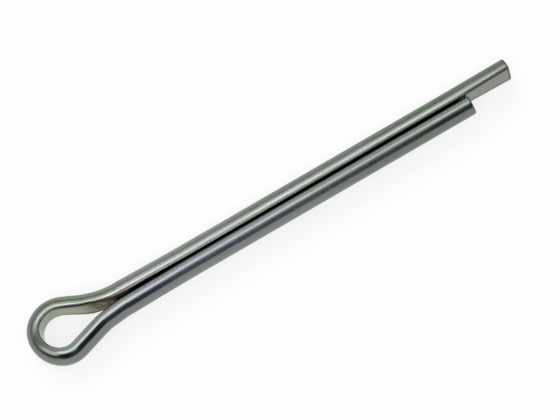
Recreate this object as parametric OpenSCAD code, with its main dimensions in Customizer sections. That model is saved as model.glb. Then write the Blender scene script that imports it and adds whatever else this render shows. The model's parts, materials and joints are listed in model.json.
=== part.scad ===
// Split cotter pin: one length of half-round wire, folded flat side inwards around an eye.
// +X runs along the legs towards their cut ends, +Y is the long leg's side, and +Z is the
// eye's own axis. The origin is on the shank's axis, where the straight legs leave the neck.

/* [Wire] */
// Diameter of the closed shank, measured across both legs
shank_d = 2.9; // [2.4:0.1:4]
// Gap between the flat faces of the two legs
leg_gap = 0.16; // [0.06:0.02:0.4]
// Radius of the wire's two long edges, where its flat meets its round side
edge_r = 0.15; // [0.1:0.05:0.35]

/* [Legs] */
// Straight length of the short leg, from the neck to its cut end
short_leg = 34.2; // [12:0.2:80]
// How far the long leg reaches past the short one
leg_extension = 4.2; // [1:0.1:8]

/* [Eye] */
// Radius of the inside of the eye
eye_r = 1.65; // [1.3:0.05:3]
// How far the eye's centre stands off the shank's axis, towards the long leg
eye_offset = 0.2; // [0:0.05:0.4]
// Radius to which the wire's flat is bent in each neck
neck_r = 9; // [4:0.5:12]
// Slope at which the eye's side runs down to the long leg
neck_angle = 24.5; // [14:0.5:28]

/* [Hidden] */
$fn = 128;

// Stretches of wire are joined at this scale, where end faces that agree to six digits
// count as one face.
JOIN_SCALE = 0.001;

// The wire's section: its flat lies on x = 0 and its round side is a part of the shank's circle.
shank_r = shank_d / 2;
flat_y = leg_gap / 2;
edge_z = sqrt((shank_r - edge_r) ^ 2 - (flat_y + edge_r) ^ 2);

long_leg = short_leg + leg_extension;

// Each side of the eye is a straight that touches the eye's circle and its own neck's circle,
// and crosses between the two. A drop is the height from the eye's centre to a neck's centre.
neck_y = flat_y + neck_r;
bend_span = eye_r + neck_r;
long_drop = neck_y - eye_offset;
short_drop = neck_y + eye_offset;
eye_x = (bend_span - long_drop * cos(neck_angle)) / sin(neck_angle);

function bend_angle(drop) = atan2(eye_x, drop) - acos(bend_span / norm([eye_x, drop]));
function side_length(drop) = sqrt(eye_x ^ 2 + drop ^ 2 - bend_span ^ 2);

// Fuses its children into one shape.
module joined() {
  scale(1 / JOIN_SCALE)
    for (i = [0 : $children - 1]) scale(JOIN_SCALE) children(i);
}

module half_round() {
  intersection() {
    translate([-flat_y, 0]) circle(r = shank_r);
    translate([0, -shank_r]) square([shank_r, shank_d]);
  }
}

// The sharp corner outside an edge's rounding, bounded by the lines from the rounding's
// centre to the points where it touches the flat and the round side.
module sharp_corner() {
  polygon([
    [edge_r, edge_z],
    [-shank_r, edge_z],
    [-shank_r, 2 * edge_z],
    [2 * edge_r + flat_y, 2 * edge_z]
  ]);
}

module rounded_edge() {
  translate([edge_r, edge_z]) circle(r = edge_r);
}

module wire_section() {
  joined() {
    difference() {
      half_round();
      sharp_corner();
      mirror([0, 1]) sharp_corner();
    }
    rounded_edge();
    mirror([0, 1]) rounded_edge();
  }
}

// A straight stretch along +X, with its flat facing -Y.
module straight_wire(length) {
  rotate([90, 0, 90]) linear_extrude(length) wire_section();
}

module leg(length) {
  translate([0, flat_y, 0]) straight_wire(length);
}

// The bend out of a leg, round side towards the bend's centre.
module neck(drop) {
  translate([0, neck_y, 0]) rotate([0, 0, 270 - bend_angle(drop)])
    rotate_extrude(angle = bend_angle(drop))
      translate([neck_r, 0]) mirror([1, 0]) wire_section();
}

// The straight stretch from a neck to the eye's round.
module eye_side(drop) {
  translate([0, neck_y, 0]) rotate([0, 0, -bend_angle(drop)])
    translate([-side_length(drop), -neck_r, 0]) straight_wire(side_length(drop));
}

// The eye's round, with the flat on its inside.
module eye_round() {
  translate([-eye_x, eye_offset, 0]) rotate([0, 0, 90 - bend_angle(long_drop)])
    rotate_extrude(angle = 180 + bend_angle(long_drop) + bend_angle(short_drop))
      translate([eye_r, 0]) wire_section();
}

module split_pin() {
  color([0.56, 0.57, 0.55]) joined() {
    leg(long_leg);
    neck(long_drop);
    eye_side(long_drop);
    mirror([0, 1, 0]) leg(short_leg);
    mirror([0, 1, 0]) neck(short_drop);
    mirror([0, 1, 0]) eye_side(short_drop);
    eye_round();
  }
}

split_pin();
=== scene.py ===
"""Looks of a split cotter pin: half-round zinc-plated wire on a pale table under soft light.

+X runs along the legs to their cut ends, +Y is the long leg's side, and +Z is the eye's
axis, which points up. The modelling code works in millimetres, and MM turns them into metres.
"""

import json
import math

import bpy
import numpy as np
from mathutils import Matrix, Vector


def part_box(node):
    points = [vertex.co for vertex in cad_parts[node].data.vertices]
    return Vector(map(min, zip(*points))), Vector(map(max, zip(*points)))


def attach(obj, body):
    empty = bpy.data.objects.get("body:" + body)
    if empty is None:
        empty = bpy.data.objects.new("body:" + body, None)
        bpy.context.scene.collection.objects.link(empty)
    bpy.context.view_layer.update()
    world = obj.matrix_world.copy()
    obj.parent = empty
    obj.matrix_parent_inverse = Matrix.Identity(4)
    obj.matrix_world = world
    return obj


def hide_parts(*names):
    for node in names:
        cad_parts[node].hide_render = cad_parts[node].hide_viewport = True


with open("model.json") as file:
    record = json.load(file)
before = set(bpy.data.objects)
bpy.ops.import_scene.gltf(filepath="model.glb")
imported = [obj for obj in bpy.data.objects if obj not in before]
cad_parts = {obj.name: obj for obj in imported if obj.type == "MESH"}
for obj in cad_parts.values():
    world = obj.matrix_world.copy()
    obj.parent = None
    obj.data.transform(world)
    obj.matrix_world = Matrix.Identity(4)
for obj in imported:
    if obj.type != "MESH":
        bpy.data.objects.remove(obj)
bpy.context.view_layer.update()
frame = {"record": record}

MM = 0.001
LOW, HIGH = (np.array(corner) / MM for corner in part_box("split_pin"))
MOUNTS = {mount["name"]: mount for mount in frame["record"]["mounts"]}

# The wire's section is half of a circle, and two such halves make the round shank. The flat
# stands this far from the shank's axis. The round side is a superellipse of this power, which
# makes it a little fuller at its shoulders than a circle, whose power is 2.
SHANK_R = MOUNTS["shank"]["dims"]["r_mm"]
FLAT_Y = 0.08
FULLNESS = 2.2

# The two long edges: distance along the wire from the long leg's end, their radius, and how
# far the flat is set back there. It stands proud where that is negative.
EDGES = [
    (0, 0.16, -0.03), (5, 0.09, -0.03), (36, 0.09, -0.03), (38, 0.10, -0.09), (40.5, 0.15, 0),
    (45, 0.17, 0), (52, 0.20, 0), (60, 0.30, 0.04), (91, 0.30, 0.04),
]

# The straight legs begin at x = 0. The long one ends here, and leads the short one by this much.
LONG_TIP = HIGH[0]
LEG_LEAD = 4.27

# The eye, and the neck's bend on each side of it, with radii measured to the wire's flat.
EYE_X, EYE_Y = np.array(MOUNTS["eye"]["pos_m"][:2]) / MM
EYE_R = 1.74
NECK_R = 9.0

# The shares of its depth and of its height that the wire loses where it is bent.
DEPTH_LOSS = 0.065
HEIGHT_LOSS = 0.01

# At the neck each leg stands this much further out. It closes up over this length, and the
# power makes it straighten out gently.
BOW = 0.10
BOW_REACH = 6.4
BOW_POWER = 1.5

# Unevenness of the hand-bent eye: distance along the wire, height outwards, and half width.
EYE_WAVES = [(42.9, 0.03, 1.9), (45.2, -0.045, 1.9), (48.4, -0.10, 2.2), (55.0, 0.07, 1.8)]

# Twist of the bent wire in degrees, at distances along it from the long leg's end, about a
# line at this depth in the wire.
TWIST = [
    (0, -4.5), (5.5, 1.8), (32, 1.8), (39, 0.5), (41.5, -6), (45.5, 2.7), (47.5, 0.7), (51, 1.3),
    (90, 0),
]
TWIST_DEPTH = 0.45 * SHANK_R

# The mesh: the most wire from one ring of points to the next, and on each ring the points on
# half of the flat, on an edge and on half of the round side.
STATION_STEP = 0.13
FLAT_POINTS = 7
EDGE_POINTS = 9
ROUND_POINTS = 23

# A cut end is slightly domed, through rings with these scales and heights. Its rim is rounded
# through rings at these angles, to this radius, which is exact at this distance from the
# section's middle.
END_FACE = [(0.0, 0.05), (0.35, 0.04), (0.7, 0.01)]
RIM_ANGLES = (90, 68, 45, 22)
RIM_R = 0.16
RIM_DISTANCE = 0.62 * SHANK_R


# ---------------------------------------------------------------- the wire's route

def arc_steps(length):
    return max(2, math.ceil(length / STATION_STEP))


def half_route(side, tip):
    """One leg from its cut end to the far side of the eye. Each row holds the flat's x and y,
    the angle of the outward normal from the leg's own side, and the shares of bow and thinning."""
    eye_y = side * EYE_Y
    neck_y = FLAT_Y + NECK_R
    drop = neck_y - eye_y
    bend = math.atan2(-EYE_X, drop) - math.acos((EYE_R + NECK_R) / math.hypot(EYE_X, drop))
    rows = []

    for x in np.linspace(tip, 0, arc_steps(tip), endpoint=False):
        near_neck = max(0.0, 1 - x / BOW_REACH)
        rows.append((x, FLAT_Y, 0, near_neck ** BOW_POWER, 0))

    for t in np.linspace(0, bend, arc_steps(NECK_R * bend), endpoint=False):
        turned = t / bend
        rows.append((-NECK_R * math.sin(t), neck_y - NECK_R * math.cos(t), t, 1 - turned, turned))

    start = np.array([-NECK_R * math.sin(bend), neck_y - NECK_R * math.cos(bend)])
    end = np.array([EYE_X + EYE_R * math.sin(bend), eye_y + EYE_R * math.cos(bend)])
    for share in np.linspace(0, 1, arc_steps(np.linalg.norm(end - start)), endpoint=False):
        rows.append((*(start + share * (end - start)), bend, 0, 1))

    for t in np.linspace(bend, -math.pi / 2, arc_steps(EYE_R * (bend + math.pi / 2)) + 1):
        rows.append((EYE_X + EYE_R * math.sin(t), eye_y + EYE_R * math.cos(t), t, 0, 1))
    return np.array(rows)


def distances(place):
    """How far along the wire each station lies."""
    steps = np.linalg.norm(np.diff(place, axis=0), axis=1)
    return np.concatenate([[0], np.cumsum(steps)])


def route():
    """The whole wire from the long leg's end round to the short one's: for each station the
    flat's place, the outward normal, the distance along the wire, and the share of thinning."""
    long_half = half_route(1, LONG_TIP)
    short_half = half_route(-1, LONG_TIP - LEG_LEAD)[-2::-1]
    x, y, turn, bow, thin = np.vstack([long_half, short_half]).T
    side = np.concatenate([np.ones(len(long_half)), -np.ones(len(short_half))])
    normal = np.stack([np.sin(turn), side * np.cos(turn)], axis=1)

    place = np.stack([x, side * y], axis=1) + normal * (BOW * bow)[:, None]
    for centre, rise, half_width in EYE_WAVES:
        near = np.clip(1 - np.abs(distances(place) - centre) / half_width, 0, 1)
        place += normal * (rise * near ** 2 * (3 - 2 * near))[:, None]
    return place, normal, distances(place), thin


# ---------------------------------------------------------------- the wire's section

def arc(centre, radius, start, end, count):
    """Points on an arc, in the section's plane: depth into the wire, and height."""
    angle = np.radians(np.linspace(start, end, count))
    return np.stack([centre[0] + radius * np.cos(angle), centre[1] + radius * np.sin(angle)], axis=1)


def edges_at(along):
    """The long edges' radius and how far the flat is set back, at a distance along the wire."""
    distance, radius, back = zip(*EDGES)
    return np.interp(along, distance, radius), np.interp(along, distance, back)


def wire_section(edge_r, back):
    """The half-round outline with its two rounded long edges, from the middle of the flat
    up over the top edge, round the outside and back under."""
    edge_y = back + edge_r
    edge_z = math.sqrt((SHANK_R - edge_r) ** 2 - (FLAT_Y + edge_y) ** 2)
    touch = math.degrees(math.atan2(edge_z, FLAT_Y + edge_y))
    flat = np.stack([np.full(FLAT_POINTS, back), np.linspace(0, edge_z, FLAT_POINTS)], axis=1)
    top_edge = arc((edge_y, edge_z), edge_r, 180, touch, EDGE_POINTS)
    round_side = arc((-FLAT_Y, 0), SHANK_R, touch, 0, ROUND_POINTS)

    # The edge and the round side are pushed out together, from a circle to the superellipse.
    from_axis = np.vstack([top_edge, round_side[1:]]) + (FLAT_Y, 0)
    across = np.abs(from_axis) / np.linalg.norm(from_axis, axis=1)[:, None]
    fuller = from_axis * ((across ** FULLNESS).sum(axis=1) ** (-1 / FULLNESS))[:, None]
    upper = np.vstack([flat[:-1], fuller - (FLAT_Y, 0)])
    lower = upper[-2:0:-1] * (1, -1)
    return np.vstack([upper, lower])


# ---------------------------------------------------------------- the wire's mesh

def end_rings():
    """The rings on a cut end, from the middle of its face to its rim: each one's scale, and how
    far it stands out past the wire's end."""
    rows = list(END_FACE)
    for angle in np.radians(RIM_ANGLES):
        scale = 1 - RIM_R * (1 - math.cos(angle)) / RIM_DISTANCE
        rows.append((scale, RIM_R * (math.sin(angle) - 1)))
    return rows + [(1.0, -RIM_R)]


def wire_points():
    """Every ring of the wire, from the middle of one cut end to the middle of the other, as
    places and as straightened coordinates: distance along, depth from the flat, height."""
    place, normal, along, thin = route()
    last = len(along) - 1
    rows = [(0, scale, advance) for scale, advance in end_rings()]
    rows += [(k, 1.0, 0.0) for k in range(2, last - 1)]
    rows += [(last, scale, advance) for scale, advance in reversed(end_rings())]

    rings, straight = [], []
    for k, scale, advance in rows:
        edge_r, back = edges_at(along[k])
        section = wire_section(edge_r, back)
        centre = section.mean(axis=0)
        shape = centre + (section - centre) * scale
        depth = shape[:, 0] * (1 - DEPTH_LOSS * thin[k])
        height = shape[:, 1] * (1 - HEIGHT_LOSS * thin[k])

        twist = math.radians(np.interp(along[k], *zip(*TWIST)))
        out = TWIST_DEPTH + (depth - TWIST_DEPTH) * math.cos(twist) - height * math.sin(twist)
        up = (depth - TWIST_DEPTH) * math.sin(twist) + height * math.cos(twist)
        x = place[k, 0] + normal[k, 0] * out + advance
        y = place[k, 1] + normal[k, 1] * out
        rings.append(np.stack([x, y, up], axis=1))

        # Both ends point along +X, and the long leg's end is where the wire begins.
        distance = along[k] + (advance if k == last else -advance)
        straight.append(np.stack([np.full_like(out, distance), shape[:, 0] - back, height], axis=1))
    return np.array(rings), np.array(straight)


def wire_mesh():
    """The rings as one closed skin, and the wire's length. Each end ring is a single point in
    the middle of its cut face, and the point attribute "wire" holds the straightened
    coordinates in millimetres."""
    rings, straight = wire_points()
    count = rings.shape[1]
    points = np.vstack([rings[0, :1], rings[1:-1].reshape(-1, 3), rings[-1, :1]])
    wire = np.vstack([straight[0, :1], straight[1:-1].reshape(-1, 3), straight[-1, :1]])

    def at(ring, k):
        return 1 + (ring - 1) * count + k % count

    body_rings = len(rings) - 2
    last_point = len(points) - 1
    faces = [(0, at(1, k + 1), at(1, k)) for k in range(count)]
    for ring in range(1, body_rings):
        for k in range(count):
            faces.append((at(ring, k), at(ring, k + 1), at(ring + 1, k + 1), at(ring + 1, k)))
    faces += [(last_point, at(body_rings, k), at(body_rings, k + 1)) for k in range(count)]

    mesh = bpy.data.meshes.new("split_pin_wire")
    mesh.from_pydata((points * MM).tolist(), [], faces)
    mesh.validate()
    mesh.attributes.new("wire", "FLOAT_VECTOR", "POINT").data.foreach_set("vector", wire.ravel())
    mesh.shade_smooth()
    mesh.update()
    return mesh, straight[-1, 0, 0] - straight[0, 0, 0]


# ---------------------------------------------------------------- node helpers

class Nodes:
    """Adds nodes to one tree and joins them up."""

    def __init__(self, tree):
        self.tree = tree
        tree.nodes.clear()

    def add(self, kind, **values):
        """A node with its properties and inputs set. A value that is a socket is linked."""
        node = self.tree.nodes.new("ShaderNode" + kind)
        for name, value in values.items():
            if name in node.bl_rna.properties:
                setattr(node, name, value)
        for name, value in values.items():
            if name not in node.bl_rna.properties:
                self.set_input(node, name, value)
        return node

    def set_input(self, node, name, value):
        """Sets the input with this name. The name in3 stands for the input with index 3."""
        by_index = name.startswith("in") and name[2:].isdigit()
        socket = node.inputs[int(name[2:]) if by_index else name.replace("_", " ")]
        if isinstance(value, bpy.types.NodeSocket):
            self.tree.links.new(value, socket)
        else:
            socket.default_value = value

    def math(self, operation, first, second=0.0):
        return self.add("Math", operation=operation, in0=first, in1=second).outputs[0]

    def product(self, first, *others):
        for other in others:
            first = self.math("MULTIPLY", first, other)
        return first

    def ramp(self, value, start, end, low=0.0, high=1.0):
        """A smooth step: low at start and before it, high at end and after it."""
        return self.add("MapRange", interpolation_type="SMOOTHSTEP", in0=value, in1=start, in2=end,
                        in3=low, in4=high).outputs[0]

    def mix(self, share, first, second, blend="MIX"):
        return self.add("Mix", data_type="RGBA", blend_type=blend,
                        in0=share, in6=first, in7=second).outputs[2]

    def tinted(self, colour, tint):
        return self.mix(1.0, colour, tint, blend="MULTIPLY")

    def grey(self, value):
        return self.add("CombineColor", Red=value, Green=value, Blue=value).outputs[0]

    def noise(self, place, scale, detail=2.0, roughness=0.5):
        return self.add("TexNoise", Vector=place, Scale=scale, Detail=detail,
                        Roughness=roughness).outputs["Fac"]

    def scaled(self, vector, factors):
        return self.add("VectorMath", operation="MULTIPLY", in0=vector, in1=factors).outputs[0]


def rgb(*colour):
    return (*colour, 1.0)


# ---------------------------------------------------------------- the metal

# Places on the metal are distances along the wire from the long leg's end, in millimetres.
# The legs end at the necks near 38 and 57, and this is near the middle of the eye.
EYE_MIDDLE = 48.5

# The plating, and its tint at grazing angles. The flat is painted brighter by this factor, a
# painted sheen for its brighter reflection, and it is warmer, most of all in the eye.
BRIGHT_ZINC = rgb(0.195, 0.218, 0.195)
GRAZING_TINT = rgb(0.80, 0.81, 0.80)
FLAT_SHEEN_FACTOR = 1.57
FLAT_TINT = rgb(1.03, 0.93, 0.95)
EYE_FLAT_TINT = rgb(0.97, 0.89, 0.77)

# The faint rainbow of the plating, together with painted light: a place, and the tint there.
# Its brightness is painted light, highest near the necks and lowest at the cut ends. Slow
# patches shift it along the wire, by up to half of the drift either way.
PLATING_TINTS_AND_LIGHT = [
    (0, (0.84, 0.86, 0.81)),
    (6, (0.87, 0.89, 0.85)),
    (14, (0.93, 0.93, 0.91)),
    (20, (1.00, 0.99, 1.01)),
    (26, (1.08, 1.07, 1.08)),
    (35, (1.18, 1.15, 1.20)),
    (40, (1.14, 1.13, 1.10)),
    (44, (0.93, 0.94, 0.89)),
    (50, (0.97, 1.02, 0.96)),
    (56, (1.03, 0.965, 1.06)),
    (66, (1.08, 1.06, 1.13)),
    (76, (1.03, 1.02, 1.00)),
    (83, (0.89, 0.90, 0.86)),
    (91, (0.81, 0.84, 0.78)),
]
TINT_AND_LIGHT_DRIFT = 22.0

# Two casts that wander over the plating.
PURPLE_CAST = rgb(1.02, 0.985, 1.045)
GREEN_CAST = rgb(0.98, 1.015, 0.955)

# Painted dark reflection along the flat's edges, and painted shade in the seam between the
# legs, which turns browner at the crotch.
EDGE_DARK_REFLECTION = rgb(0.036, 0.046, 0.039)
SEAM_SHADE = rgb(0.006, 0.006, 0.006)
CROTCH_SEAM_SHADE = rgb(0.026, 0.013, 0.012)

# A brown stain on the flat, in the crotch between the eye and the legs.
STAIN = rgb(0.140, 0.094, 0.056)
STAIN_START = 38.6
STAIN_END = 42.8

# The bare cut faces, and how far along the wire their dark colour and dullness reach. Past
# the face it darkens the rounded rim and the plating next to it as painted shade.
CUT_FACE_AND_END_SHADE = rgb(0.110, 0.104, 0.108)
CUT_AND_END_SHADE_DEPTH = 0.36

# Height of the relief that the die lines, the grain and the scores make.
RELIEF = 0.0035


class WireNodes(Nodes):
    """Nodes for the wire's metal, with its straightened coordinates and the patterns on it."""

    def __init__(self, tree, length):
        super().__init__(tree)
        self.length = length
        wire = self.add("Attribute", attribute_name="wire").outputs["Vector"]
        split = self.add("SeparateXYZ", Vector=wire).outputs
        self.along, self.depth, self.height = split["X"], split["Y"], split["Z"]
        self.off_middle = self.math("ABSOLUTE", self.height)
        self.from_end = self.math("MINIMUM", self.along, self.math("SUBTRACT", length, self.along))
        self.from_eye = self.math("ABSOLUTE", self.math("SUBTRACT", self.along, EYE_MIDDLE))

        # A pattern's factors scale the distance along the wire, the depth and the height. Die
        # lines run with the wire, and the shears' scores run across its cut faces.
        self.fine_lines = self.noise(self.scaled(wire, (0.10, 9.0, 9.0)), 1.0, 3.0, 0.6)
        self.broad_lines = self.noise(self.scaled(wire, (0.035, 2.4, 2.4)), 1.0)
        self.scores = self.noise(self.scaled(wire, (1.0, 11.0, 1.2)), 1.0, 2.0, 0.6)
        self.patches = self.noise(self.scaled(wire, (0.22, 0.9, 0.9)), 1.0)
        self.casts = self.noise(self.scaled(wire, (0.45, 1.1, 1.1)), 1.0)
        self.haze = self.noise(wire, 1.3, 3.0, 0.6)
        self.grain = self.noise(wire, 14.0, 2.0, 0.6)


def tint_and_light_along(n):
    """The plating's tint and its painted light falloff, as a colour ramp over the wire's length."""
    drifted = n.math("ADD", n.along, n.product(n.math("SUBTRACT", n.patches, 0.5), TINT_AND_LIGHT_DRIFT))
    ramp = n.add("ValToRGB", Fac=n.math("DIVIDE", drifted, n.length))
    stops = ramp.color_ramp.elements
    headroom = 1.25
    for k, (place, tint) in enumerate(PLATING_TINTS_AND_LIGHT):
        stop = stops[k] if k < 2 else stops.new(place / n.length)
        stop.position = min(1.0, place / n.length)
        stop.color = rgb(*(channel / headroom for channel in tint))
    return n.scaled(ramp.outputs["Color"], (headroom, headroom, headroom))


def plating(n):
    """The clean plating: tinted along the wire with painted light that falls off towards the
    cut ends, a little darker in the broad die lines, and on the flat speckled and painted
    brighter, a painted sheen for its brighter reflection."""
    lines = n.ramp(n.broad_lines, 0.3, 0.7, 0.93, 1.05)
    shade = n.math("ADD", lines, n.ramp(n.haze, 0.3, 0.7, -0.04, 0.04))
    # The plating tinted along the wire, with painted light that is brightest near the necks.
    colour = n.tinted(n.tinted(BRIGHT_ZINC, tint_and_light_along(n)), n.grey(shade))
    colour = n.tinted(colour, n.mix(n.ramp(n.casts, 0.36, 0.64), PURPLE_CAST, GREEN_CAST))

    flat_tint = n.mix(n.ramp(n.along, 20.0, 38.0), FLAT_TINT, EYE_FLAT_TINT)
    # The flat, painted brighter as a painted sheen for its brighter reflection, then warmer and
    # speckled.
    flat_with_painted_sheen = n.tinted(n.scaled(colour, (FLAT_SHEEN_FACTOR, FLAT_SHEEN_FACTOR, FLAT_SHEEN_FACTOR)), flat_tint)
    flat_with_painted_sheen = n.tinted(flat_with_painted_sheen, n.grey(n.ramp(n.grain, 0.3, 0.7, 0.86, 1.12)))
    return n.mix(n.ramp(n.depth, 0.06, 0.0), colour, flat_with_painted_sheen)


def edge_dark_reflection(n):
    """Where a painted dark reflection lies along the flat's two edges: near the long leg's end,
    in the upper part of the eye, and faintly where the eye comes back to the short leg."""
    near_tip = n.product(n.ramp(n.along, 5.4, 4.0), n.ramp(n.off_middle, 1.04, 1.24),
                         n.ramp(n.depth, 0.30, 0.16), 0.8)
    near_eye = n.product(n.ramp(n.along, 38.0, 40.0), n.ramp(n.along, 45.3, 43.4),
                         n.ramp(n.off_middle, 0.80, 1.00), n.ramp(n.depth, 0.20, 0.06))
    past_eye = n.product(n.ramp(n.along, 47.5, 49.5, 0.0, 0.3), n.ramp(n.along, 54.5, 53.0),
                         n.ramp(n.off_middle, 0.90, 1.10), n.ramp(n.depth, 0.25, 0.10))
    return n.math("MAXIMUM", near_tip, n.math("MAXIMUM", near_eye, past_eye))


def seam_shade(n):
    """Where painted shade fills the seam between the legs, from the crotch to the short leg's
    end. It lies on both flats, and goes further over the short leg's edge."""
    reach = n.ramp(n.along, 8.0, 32.0, 0.15, 0.06)
    on_long = n.product(n.ramp(n.along, LEG_LEAD, LEG_LEAD + 0.9), n.ramp(n.along, 41.0, 39.0),
                        n.ramp(n.math("DIVIDE", n.depth, reach), 1.0, 0.2))
    reach = n.ramp(n.along, 62.0, 88.0, 0.37, 0.32)
    on_short = n.product(n.ramp(n.along, 52.0, 55.0), n.ramp(n.from_end, 0.1, 0.9),
                         n.ramp(n.math("DIVIDE", n.depth, reach), 1.0, 0.1))
    return n.math("MAXIMUM", on_long, on_short)


def crotch_stain(n):
    """Where the stain lies on the flat, broken up by the haze and the grain."""
    blotches = n.math("ADD", n.haze, n.product(n.grain, 0.5))
    return n.product(n.ramp(n.along, STAIN_START - 1.5, STAIN_START),
                     n.ramp(n.along, STAIN_END, STAIN_END - 2.2),
                     n.ramp(n.depth, 0.16, 0.0), n.ramp(blotches, 0.48, 0.82))


def plating_roughness(n, worn):
    """The plating is glossiest in the eye, and duller where the legs are worn, along the short
    leg's inner edge and near the long leg's end."""
    lines = n.ramp(n.fine_lines, 0.3, 0.7, 0.0, 0.06)
    roughness = n.math("ADD", n.ramp(n.haze, 0.25, 0.75, 0.135, 0.215), lines)
    share = n.math("ADD", n.ramp(n.from_eye, 7.0, 14.0, 0.75, 1.0), n.product(worn, 0.2))
    rubbed = n.product(n.ramp(n.along, 52.0, 58.0), n.ramp(n.depth, 0.62, 0.30))
    rubbed = n.math("MAXIMUM", rubbed, n.ramp(n.along, 8.0, 2.5, 0.0, 0.4))
    return n.math("ADD", n.product(roughness, share), n.product(rubbed, 0.22))


def zinc_plated_steel(length):
    material = bpy.data.materials.new("zinc_plated_steel")
    material.use_nodes = True
    n = WireNodes(material.node_tree, length)
    # Painted shade in the seam between the legs, which also takes the metal's shine away there.
    seam_shade_share = seam_shade(n)
    stain = crotch_stain(n)
    # The bare cut faces, with painted shade reaching past them over the rounded rim and the plating.
    cut_and_end_shade = n.ramp(n.from_end, CUT_AND_END_SHADE_DEPTH, 0.0)
    worn = n.product(n.ramp(n.from_eye, 8.0, 16.0), n.ramp(n.from_eye, 40.0, 32.0))

    # The seam's painted shade: near black, browner at the crotch.
    seam_shade_colour = n.mix(n.ramp(n.from_end, 33.0, 36.5), SEAM_SHADE, CROTCH_SEAM_SHADE)
    cut_and_end_shade_colour = n.tinted(CUT_FACE_AND_END_SHADE, n.grey(n.ramp(n.scores, 0.3, 0.7, 0.8, 1.5)))
    # Painted dark reflection along the flat's edges.
    colour = n.mix(edge_dark_reflection(n), plating(n), EDGE_DARK_REFLECTION)
    colour = n.mix(seam_shade_share, colour, seam_shade_colour)
    colour = n.mix(n.product(stain, 0.9), colour, STAIN)
    colour = n.mix(cut_and_end_shade, colour, cut_and_end_shade_colour)

    dull = n.product(n.math("MAXIMUM", cut_and_end_shade, stain), 0.28)
    roughness = n.math("ADD", plating_roughness(n, worn), dull)
    metallic = n.math("SUBTRACT", 1.0, n.math("MAXIMUM", seam_shade_share, n.product(worn, 0.14)))
    specular = n.product(n.math("SUBTRACT", 1.0, seam_shade_share), 0.5)

    relief = n.math("ADD", n.fine_lines, n.product(n.grain, 0.25))
    relief = n.math("ADD", relief, n.product(cut_and_end_shade, n.scores, 6.0))
    bump = n.add("Bump", Strength=1.0, Distance=RELIEF * MM, Height=relief).outputs[0]

    shader = n.add("BsdfPrincipled", Base_Color=colour, Metallic=metallic, Roughness=roughness,
                   Specular_IOR_Level=specular, Specular_Tint=GRAZING_TINT, Normal=bump)
    out = n.add("OutputMaterial")
    n.tree.links.new(shader.outputs[0], out.inputs["Surface"])
    return material


# ---------------------------------------------------------------- the piece

def make_split_pin():
    mesh, length = wire_mesh()
    piece = bpy.data.objects.new("split_pin_wire", mesh)
    bpy.context.scene.collection.objects.link(piece)
    mesh.materials.append(zinc_plated_steel(length))
    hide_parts("split_pin")
    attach(piece, "root")
    return piece


# ---------------------------------------------------------------- camera

# The camera looks down at a point near the pin's middle, a little from the short leg's side,
# and the legs rise across the picture towards their ends. Angles are in degrees.
LOOK_TILT = 16.27
LOOK_TURN = -5.14
LEGS_RISE = 30.08
LOOK_DISTANCE = 251.95
LENS = 188.28
AIM = Vector(((LOW[0] + HIGH[0]) / 2 + 0.69, (LOW[1] + HIGH[1]) / 2 - 0.39, 0.0))


def make_camera():
    tilt, turn, rise = (math.radians(angle) for angle in (LOOK_TILT, LOOK_TURN, LEGS_RISE))
    back = Vector((math.sin(turn) * math.sin(tilt), -math.cos(turn) * math.sin(tilt), math.cos(tilt)))
    legs = Vector((1, 0, 0))
    legs = (legs - back * legs.dot(back)).normalized()
    right = Matrix.Rotation(-rise, 3, back) @ legs
    up = back.cross(right)

    data = bpy.data.cameras.new("camera")
    data.lens = LENS
    data.sensor_width = 36.0
    data.clip_start = 0.01
    data.clip_end = 20.0
    camera = bpy.data.objects.new("camera", data)
    bpy.context.scene.collection.objects.link(camera)
    pose = Matrix((right, up, back)).transposed().to_4x4()
    pose.translation = (AIM + back * LOOK_DISTANCE) * MM
    camera.matrix_world = pose
    bpy.context.scene.camera = camera


# ---------------------------------------------------------------- floor and light

# The floor is a disc of this radius in metres, matt and of this whiteness. Where the camera or
# a reflection sees it, this share of it is an even white glow instead.
FLOOR_R = 3.0
FLOOR_WHITE = 0.89
FLOOR_GLOW = 0.80

# Soft panels round the table, painted over the room's even grey in this order. Bearings run
# from +X through +Y, and elevations up from the horizon, in degrees. Each row holds bearing,
# half width and edge, then elevation, half height and edge, and last the colour.
ROOM_GREY = (0.57, 0.57, 0.54)
PANELS = [
    (180, 180, 1, 84, 12, 10, (0.92, 0.92, 0.90)),
    (190, 20, 20, 10, 6, 16, (0.36, 0.35, 0.33)),
    (285, 42, 16, 24, 16, 13, (0.08, 0.11, 0.18)),
    (227, 26, 14, 30, 10, 12, (0.03, 0.04, 0.06)),
    (312, 20, 14, 25, 14, 12, (0.03, 0.04, 0.06)),
    (275, 3, 6, 46, 1, 9, (1.05, 1.05, 1.10)),
    (100, 34, 18, 38, 3, 17, (1.70, 1.70, 1.70)),
    (93, 20, 22, 51, 3, 7, (4.70, 4.55, 4.90)),
    (198, 12, 20, 46, 5, 16, (2.15, 2.10, 2.15)),
    (256, 34, 24, 76, 5, 13, (1.35, 1.32, 1.42)),
    (262, 42, 16, 60, 2.5, 10.5, (3.80, 3.70, 4.15)),
    (0, 36, 15, 38, 14, 10, (0.70, 0.70, 0.66)),
    (180, 180, 1, -45, 46, 2, (0.99, 0.99, 0.99)),
]


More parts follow.
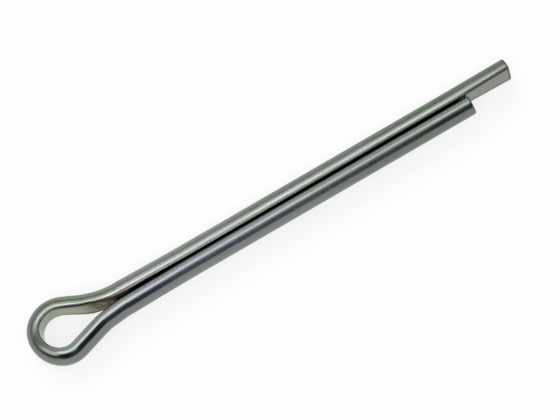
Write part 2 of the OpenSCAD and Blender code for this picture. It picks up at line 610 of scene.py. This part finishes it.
def floor_material():
    material = bpy.data.materials.new("pale_table")
    material.use_nodes = True
    n = Nodes(material.node_tree)
    ray = n.add("LightPath").outputs
    seen = n.math("MAXIMUM", ray["Is Glossy Ray"], ray["Is Transmission Ray"])
    seen = n.math("MAXIMUM", ray["Is Camera Ray"], seen)
    plain = n.add("BsdfDiffuse", Color=rgb(FLOOR_WHITE, FLOOR_WHITE, FLOOR_WHITE)).outputs[0]
    glow = n.add("Emission", Color=rgb(1, 1, 1), Strength=1.0).outputs[0]
    mixed = n.add("MixShader", in0=n.product(seen, FLOOR_GLOW), in1=plain, in2=glow).outputs[0]
    out = n.add("OutputMaterial")
    n.tree.links.new(mixed, out.inputs["Surface"])
    return material


def make_floor(height):
    turns = np.radians(np.arange(0, 360, 5))
    around = [(FLOOR_R * math.cos(turn), FLOOR_R * math.sin(turn), height) for turn in turns]
    mesh = bpy.data.meshes.new("table")
    mesh.from_pydata(around, [], [tuple(range(len(around)))])
    floor = bpy.data.objects.new("table", mesh)
    bpy.context.scene.collection.objects.link(floor)
    mesh.materials.append(floor_material())


def make_room():
    world = bpy.data.worlds.new("room")
    world.use_nodes = True
    bpy.context.scene.world = world
    n = Nodes(world.node_tree)
    direction = n.add("TexCoord").outputs["Generated"]
    flat = n.add("VectorMath", operation="NORMALIZE", in0=n.scaled(direction, (1, 1, 0))).outputs[0]
    height = n.add("SeparateXYZ", Vector=direction).outputs["Z"]
    elevation = n.math("DEGREES", n.math("ARCSINE", height))
    colour = rgb(*ROOM_GREY)
    for bearing, half_w, edge_w, centre, half_h, edge_h, paint in PANELS:
        heading = (math.cos(math.radians(bearing)), math.sin(math.radians(bearing)), 0)
        across = n.add("VectorMath", operation="DOT_PRODUCT", in0=flat, in1=heading).outputs["Value"]
        aside = n.math("DEGREES", n.math("ARCCOSINE", across))
        above = n.math("ABSOLUTE", n.math("SUBTRACT", elevation, centre))
        mask = n.product(n.ramp(aside, half_w + edge_w, half_w), n.ramp(above, half_h + edge_h, half_h))
        colour = n.mix(mask, colour, rgb(*paint))
    background = n.add("Background", Color=colour, Strength=1.0)
    out = n.add("OutputWorld")
    n.tree.links.new(background.outputs[0], out.inputs["Surface"])


# ---------------------------------------------------------------- putting it together

def lowest(piece):
    return min(vertex.co.z for vertex in piece.data.vertices)


split_pin = make_split_pin()
make_camera()
make_floor(lowest(split_pin))
make_room()
bpy.context.scene.view_settings.view_transform = "Standard"
